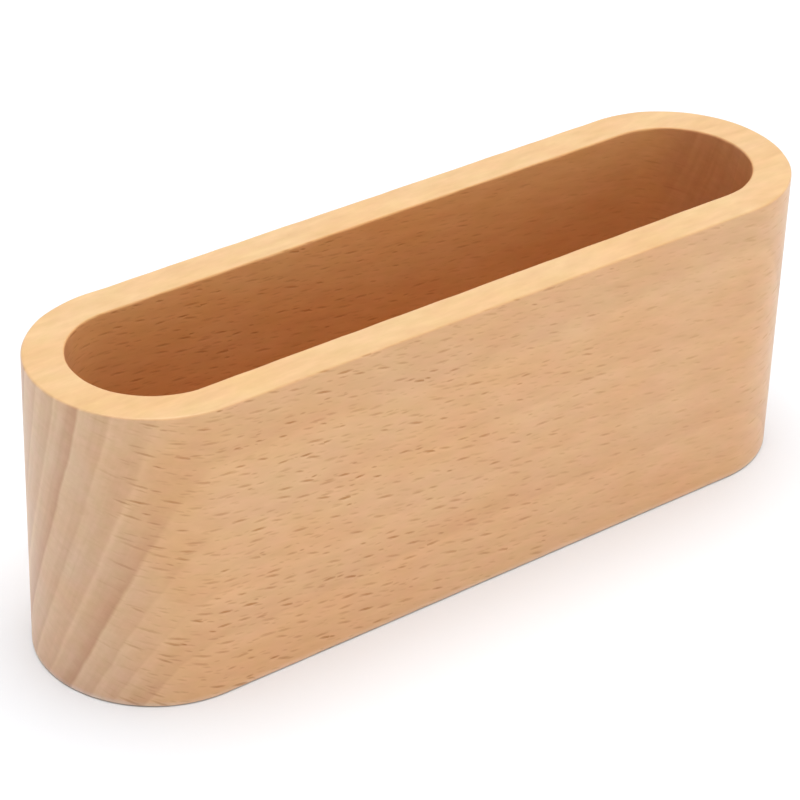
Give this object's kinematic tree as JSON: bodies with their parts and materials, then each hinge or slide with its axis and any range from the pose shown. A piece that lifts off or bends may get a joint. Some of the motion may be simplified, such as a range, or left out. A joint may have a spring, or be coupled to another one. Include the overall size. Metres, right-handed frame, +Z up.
{
  "type": "business card holder",
  "caption": "Obround wooden block with a milled slot that holds a stack of business cards upright on a desk, standing on thin anti-slip feet let into its underside.",
  "frame": {"origin": "on the desk, under the middle of the block", "axes": "+X along the block, +Y from its front face to its back face, +Z up"},
  "size_m": [0.11, 0.03, 0.04],
  "materials": {
    "beech": "satin",
    "foot_rubber": "matte"
  },
  "bodies": {
    "root": {"block": "beech", "foot_front_left": "foot_rubber", "foot_front_right": "foot_rubber", "foot_back_left": "foot_rubber", "foot_back_right": "foot_rubber"}
  },
  "joints": []
}
